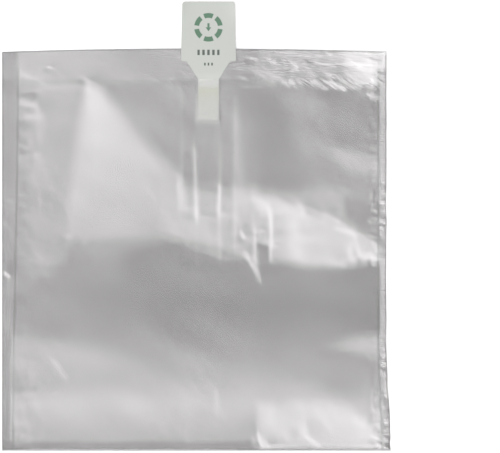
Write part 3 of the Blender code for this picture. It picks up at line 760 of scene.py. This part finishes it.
def makeFrontMaterial():
    material, tree, shader = newMaterial("clearFilmFront", film["roughness"], 1.0, film["shineAlpha"])
    mask = addWelds(tree, shader, film["shine"], "shine")
    grain = addGrain(tree, film["grainPitch"])
    spread = film["roughnessSpread"]
    least = film["roughness"] - spread / 2
    rough = mathNode(tree, "MULTIPLY_ADD", grain.outputs["Mottle"], spread, least)
    feed(tree, rough, shader.inputs["Roughness"])
    scuffs = useGroup(tree, filmScuffs)
    feed(tree, solidPlace(tree), scuffs.inputs["Place"])
    for label in ("Scuffed", "Stitched"):
        feed(tree, mask.outputs[label], scuffs.inputs[label])
    fine = times(tree, grain.outputs["Height"], film["grainShare"])
    height = mathNode(tree, "ADD", fine, scuffs.outputs["Height"])
    bumpFrom(tree, shader, height, 1.0, scuff["depth"])
    return material


def makeBackMaterial():
    material, tree, shader = newMaterial("clearFilmBack", film["backRoughness"], 0.0, film["backAlpha"])
    grain = addGrain(tree, film["grainPitch"])
    bright = tuple(value * film["backMottle"] for value in film["back"])
    base = mixColour(tree, grain.outputs["Mottle"], film["back"], bright)
    addWelds(tree, shader, base, "back")
    bumpFrom(tree, shader, grain.outputs["Height"], film["grainStrength"], film["grainDepth"])
    return material


bagFilm, ofBack = makeBagFilm()
bagFilm.data.materials.append(makeFrontMaterial())
bagFilm.data.materials.append(makeBackMaterial())
bagFilm.data.polygons.foreach_set("material_index", ofBack.astype(np.int32))
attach(bagFilm, "root")
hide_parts("bag_film")
print("bag film:", len(bagFilm.data.polygons), "faces")


def makeValveFilm(name, level):
    rows = stops([stripEnd, stemEnd - valve["shoulder"], stemEnd, weldBottom, weldTop], valve["step"])
    columns = stops(aroundStem(stemHalf, stemHalf + valve["hug"], stripHalf), valve["step"])
    b, a = np.meshgrid(rows, columns, indexing="ij")
    points = np.stack([layA(a, b), layB(a, b), level(a, b)], axis=-1).reshape(-1, 3)
    across = (a - valveA) / (2 * stripHalf) + 0.5
    flat = np.stack([across, (b - stripEnd) / (weldTop - stripEnd)], axis=-1).reshape(-1, 2)
    return makeMesh(name, points, gridFaces(len(rows), len(columns)), flat)


def makeValveMaterial(name):
    material, tree, shader = newMaterial(name, valve["roughness"], 0.0, valve["alpha"])
    across, up = partsOf(tree, flatPlace(tree))[:2]
    # The channel's upper end holds a paler coating that ends below the stem
    off = mathNode(tree, "ABSOLUTE", mathNode(tree, "SUBTRACT", across, 0.5))
    channel = rampNode(tree, off, valve["channelHalf"], -valve["channelEdge"])
    upper = rampNode(tree, up, valve["coatedFrom"], valve["coatedEdge"])
    grain = addGrain(tree, film["grainPitch"])
    base = mixColour(tree, times(tree, channel, upper), valve["colour"], valve["coating"])
    feed(tree, base, shader.inputs["Base Color"])
    bumpFrom(tree, shader, grain.outputs["Height"], film["grainStrength"], film["grainDepth"])
    return material


tab = {
    "thickness": 0.2, "taper": 14.1, "neckWidth": 34.2, "headLength": 46.7, "headWidth": 43.3,
    "headNarrowing": 2.1, "cornerRadius": 1.1, "clearance": 0.08,
    "curl": 1, "curlLength": 20, "sag": 0.1, "sagLength": 30, "climbStart": -1, "climb": 6,
    "underHalf": 22, "stemChamfer": 0.5,
    "stemStep": 1.5, "taperStep": 1.4, "headStep": 1.6, "columns": 25,
    "white": (0.4449, 0.4616, 0.4314), "mottle": (0.4827, 0.4977, 0.4691),
    # The stem's colour under the film is painted shade, darker than the tab's white
    "underFilmShade": (0.3809, 0.3959, 0.3657), "clung": (0.3545, 0.3657, 0.2715), "clungShare": 0.8,
    "clungStart": 12, "clungReach": 10, "dimStart": 1, "dimReach": 3,
    "roughness": 0.42, "grainPitch": 900, "grainStrength": 0.3, "grainDepth": 0.00003,
}
spacing = valve["filmSpacing"]


def valveFrontLevel(a, b):
    return frontLevel(a, b) - spacing


def valveBackLevel(a, b):
    return restLevel(a, b) - 2 * spacing - tab["thickness"] * overStem(a, b)


valveFront = makeValveFilm("valveFrontFilm", valveFrontLevel)
valveBack = makeValveFilm("valveBackFilm", valveBackLevel)
for piece, node in ((valveFront, "valve_front_film"), (valveBack, "valve_back_film")):
    piece.data.materials.append(makeValveMaterial(piece.name))
    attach(piece, "root")
    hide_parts(node)
print("valve films:", len(valveFront.data.polygons), "faces each")

shoulderB = weldTop + tab["taper"]
headTop = shoulderB + tab["headLength"]
# The head lies on the highest place of the film under it
underA = np.linspace(valveA - tab["underHalf"], valveA + tab["underHalf"], 23)
headRest = restLevel(*np.meshgrid(underA, np.linspace(slitHigh, bag["height"], 12))).max()


def tabLevel(a, b):
    over = restLevel(np.clip(a, valveA - stemHalf, valveA + stemHalf), b)
    inside = over - spacing - tab["thickness"] / 2
    outside = headRest + tab["clearance"] + tab["thickness"] / 2
    level = inside + (outside - inside) * rampUp(b - weldTop, tab["climbStart"], tab["climb"])
    out = np.abs(a - valveA) / (tab["headWidth"] / 2)
    up = smooth(1 - (headTop - b) / tab["curlLength"])
    sag = tab["sag"] * rampUp(b, shoulderB, tab["sagLength"]) * (out**2 - 0.4)
    return level + tab["curl"] * up * out**4 + sag


def makeTab():
    # Rows from the stem's end to the head's top, each with its half width
    chamfer = tab["stemChamfer"]
    rows = [(stemEnd, stemHalf - chamfer), (stemEnd + 0.3 * chamfer, stemHalf - 0.3 * chamfer)]
    for b in stops([stemEnd + chamfer, weldTop], tab["stemStep"]):
        rows.append((b, stemHalf))
    for b in stops([weldTop, shoulderB], tab["taperStep"])[1:]:
        rows.append((b, stemHalf + (tab["neckWidth"] / 2 - stemHalf) * (b - weldTop) / tab["taper"]))
    for b in stops([shoulderB + 0.01, headTop], tab["headStep"]):
        up = (b - shoulderB) / tab["headLength"]
        half = (tab["headWidth"] - tab["headNarrowing"] * up) / 2
        corner = tab["cornerRadius"]
        dip = max(0.0, b - (headTop - corner))
        rows.append((b, half - corner + math.sqrt(max(0.0, corner**2 - dip**2))))
    b, half = (np.array(values)[:, None] for values in zip(*rows))
    share = np.linspace(-1, 1, tab["columns"])[None, :]
    a, b = valveA + share * half, b + 0 * share
    middle = tabLevel(a, b)
    count, wide = a.shape
    levels = [middle + side * tab["thickness"] / 2 for side in (1, -1)]
    layers = [np.stack([a, b, level], axis=-1).reshape(-1, 3) for level in levels]
    top = gridFaces(count, wide)
    under = top[:, ::-1] + count * wide
    ring = [*range(wide),
            *(row * wide + wide - 1 for row in range(1, count)),
            *((count - 1) * wide + column for column in range(wide - 2, -1, -1)),
            *(row * wide for row in range(count - 2, 0, -1))]
    rim = np.array([(first, first + count * wide, second + count * wide, second)
                    for first, second in zip(ring, ring[1:] + ring[:1])])
    piece = makeMesh("inletTab", np.concatenate(layers), np.concatenate([top, under, rim]))
    piece.data.set_sharp_from_angle(angle=math.radians(40))
    return piece


tabInk = {
    "markUp": 332.3, "markOuter": 11.2, "markInner": 7.4, "arrowHalf": 3.4,
    "arrowSlope": 0.7, "shaftHalf": 0.25, "shaftUp": 0.45, "shaftTall": 0.5,  # shares of arrowHalf
    "dashes": 6, "dashShare": 0.36, "dashEdge": 0.04,
    "rowUp": 312.6, "rowHalf": 8.7, "rowTall": 2.1, "rowPitch": 3.9, "rowShare": 0.25,
    "lastUp": 303.4, "lastHalf": 3.6, "lastTall": 1.1, "lastPitch": 2.8, "lastShare": 0.22,
    "green": (0.0757, 0.1672, 0.1038), "grey": (0.0774, 0.0933, 0.0827), "edge": 0.35,
}


def makePrint():
    # Two masks for the tab: a ring of dashes round a small arrow, and two rows of upright bars
    tree, given, result = group("tabPrint", [("Place", "Vector")], [("Mark", "Float"), ("Bars", "Float")])
    parts = partsOf(tree, given.outputs["Place"])
    across = mathNode(tree, "MULTIPLY_ADD", parts[0], 1 / mm, -(left + valveA))
    up = mathNode(tree, "MULTIPLY_ADD", parts[1], 1 / mm, -bottom)
    edge = tabInk["edge"]

    def inside(value, middle, half, soft=edge):
        return bandNode(tree, value, middle, half, soft)

    fromMark = mathNode(tree, "SUBTRACT", up, tabInk["markUp"])
    radius = mathNode(tree, "MULTIPLY_ADD", across, across, times(tree, fromMark, fromMark))
    radius = mathNode(tree, "SQRT", radius)
    outer, inner = tabInk["markOuter"], tabInk["markInner"]
    ring = inside(radius, (outer + inner) / 2, (outer - inner) / 2)
    turn = mathNode(tree, "ARCTAN2", fromMark, across)
    turn = times(tree, turn, tabInk["dashes"] / (2 * math.pi))
    dash = inside(mathNode(tree, "FRACT", turn), 0.5, tabInk["dashShare"], tabInk["dashEdge"])
    half = tabInk["arrowHalf"]
    slope = mathNode(tree, "MULTIPLY_ADD", fromMark, tabInk["arrowSlope"], half * tabInk["arrowSlope"])
    head = mathNode(tree, "SUBTRACT", slope, mathNode(tree, "ABSOLUTE", across))
    head = mathNode(tree, "DIVIDE", head, edge, clamp=True)
    head = times(tree, head, inside(fromMark, -half / 2, half / 2))
    shaft = times(tree, inside(across, 0.0, half * tabInk["shaftHalf"]),
                  inside(fromMark, half * tabInk["shaftUp"], half * tabInk["shaftTall"]))
    mark = mathNode(tree, "MAXIMUM", times(tree, ring, dash), mathNode(tree, "MAXIMUM", head, shaft))
    feed(tree, mark, result.inputs["Mark"])
    rows = []
    for name in ("row", "last"):
        pitch = tabInk[name + "Pitch"]
        bars = mathNode(tree, "FRACT", mathNode(tree, "MULTIPLY_ADD", across, 1 / pitch, 0.5))
        bars = inside(bars, 0.5, tabInk[name + "Share"], edge / pitch)
        bars = times(tree, bars, inside(across, 0.0, tabInk[name + "Half"]))
        rows.append(times(tree, bars, inside(up, tabInk[name + "Up"], tabInk[name + "Tall"])))
    feed(tree, mathNode(tree, "MAXIMUM", *rows), result.inputs["Bars"])
    return tree


def makeTabMaterial():
    material, tree, shader = newMaterial("whitePlastic", tab["roughness"])
    place = solidPlace(tree)
    up = partsOf(tree, place)[1]
    grain = addGrain(tree, tab["grainPitch"])
    # Painted shade: the stem is painted dimmer under the film; it is also a little yellow where the two
    # valve films cling to it
    high = rampNode(tree, up, (bottom + stemEnd + tab["clungStart"]) * mm, tab["clungReach"] * mm)
    low = rampNode(tree, up, (bottom + weldBottom + tab["dimStart"]) * mm, -tab["dimReach"] * mm)
    clung = times(tree, times(tree, high, low), tab["clungShare"])
    base = mixColour(tree, grain.outputs["Mottle"], tab["white"], tab["mottle"])
    base = mixColour(tree, low, base, tab["underFilmShade"])
    base = mixColour(tree, clung, base, tab["clung"])
    ink = useGroup(tree, makePrint())
    feed(tree, place, ink.inputs["Place"])
    base = mixColour(tree, ink.outputs["Mark"], base, tabInk["green"])
    base = mixColour(tree, ink.outputs["Bars"], base, tabInk["grey"])
    feed(tree, base, shader.inputs["Base Color"])
    bumpFrom(tree, shader, grain.outputs["Height"], tab["grainStrength"], tab["grainDepth"])
    return material


inletTab = makeTab()
inletTab.data.materials.append(makeTabMaterial())
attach(inletTab, "root")
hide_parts("inlet_tab")
print("inlet tab:", len(inletTab.data.polygons), "faces")


studio = {
    "ceiling": 0.3, "walls": 1.1, "wallTop": 0.85, "wallFade": 0.5,
    "floorHalf": 6, "floorLevel": -0.0002, "floorColour": (0.9, 0.9, 0.9), "floorGlow": 0.2,
    "floorRoughness": 0.8, "light": (1.0, 1.0, 1.0),
    "lamps": {"keyLamp": (25.85, 50, 1.8), "glintLamp": (16.5, 16, 0.4)},
    "eyeHeight": 16, "eyePlace": (42.2, -0.2), "viewWidth": 500 * 0.785,  # the picture's width in mm
}


def makeStage():
    floor = bpy.data.objects.new("floor", bpy.data.meshes.new("floor"))
    half = studio["floorHalf"]
    corners = [(-half, -half, 0), (half, -half, 0), (half, half, 0), (-half, half, 0)]
    floor.data.from_pydata(corners, [], [(0, 1, 2, 3)])
    floor.location.z = studio["floorLevel"]
    bpy.context.collection.objects.link(floor)
    material, tree, shader = newMaterial("floorPaint", studio["floorRoughness"])
    feed(tree, studio["floorColour"], shader.inputs["Base Color"])
    feed(tree, studio["light"], shader.inputs["Emission Color"])
    feed(tree, studio["floorGlow"], shader.inputs["Emission Strength"])
    floor.data.materials.append(material)
    world = bpy.data.worlds.new("studio")
    world.use_nodes = True
    # The walls are brighter than the ceiling, so the film mirrors them when it is seen from low down
    tree = world.node_tree
    background = tree.nodes["Background"]
    up = partsOf(tree, solidPlace(tree, "Generated"))[2]
    low = rampNode(tree, up, studio["wallTop"], -studio["wallFade"])
    strength = mathNode(tree, "MULTIPLY_ADD", low, studio["walls"] - studio["ceiling"], studio["ceiling"])
    feed(tree, strength, background.inputs["Strength"])
    feed(tree, studio["light"], background.inputs["Color"])
    bpy.context.scene.world = world
    bpy.context.scene.view_settings.view_transform = "Standard"


def addSun(name, lean, spread, strength):
    # A soft lamp far away towards the lower left: its lean from straight overhead, and how wide it looks
    data = bpy.data.lights.new(name, "SUN")
    data.angle = math.radians(spread)
    data.energy = strength
    light = bpy.data.objects.new(name, data)
    aside = -math.sin(math.radians(lean))
    towards = Vector((aside, aside, math.sqrt(2) * math.cos(math.radians(lean))))
    light.rotation_euler = towards.to_track_quat("Z", "Y").to_euler()
    bpy.context.collection.objects.link(light)


makeStage()
for name, values in studio["lamps"].items():
    addSun(name, *values)

camera = bpy.data.cameras.new("camera")
camera.sensor_fit = "HORIZONTAL"
camera.sensor_width = 36.0
camera.lens = camera.sensor_width * studio["eyeHeight"] / (studio["viewWidth"] * mm)
camera.clip_end = 60
eye = bpy.data.objects.new("camera", camera)
eye.location = (studio["eyePlace"][0] * mm, studio["eyePlace"][1] * mm, studio["eyeHeight"])
bpy.context.collection.objects.link(eye)
bpy.context.scene.camera = eye
print("stage and camera set")
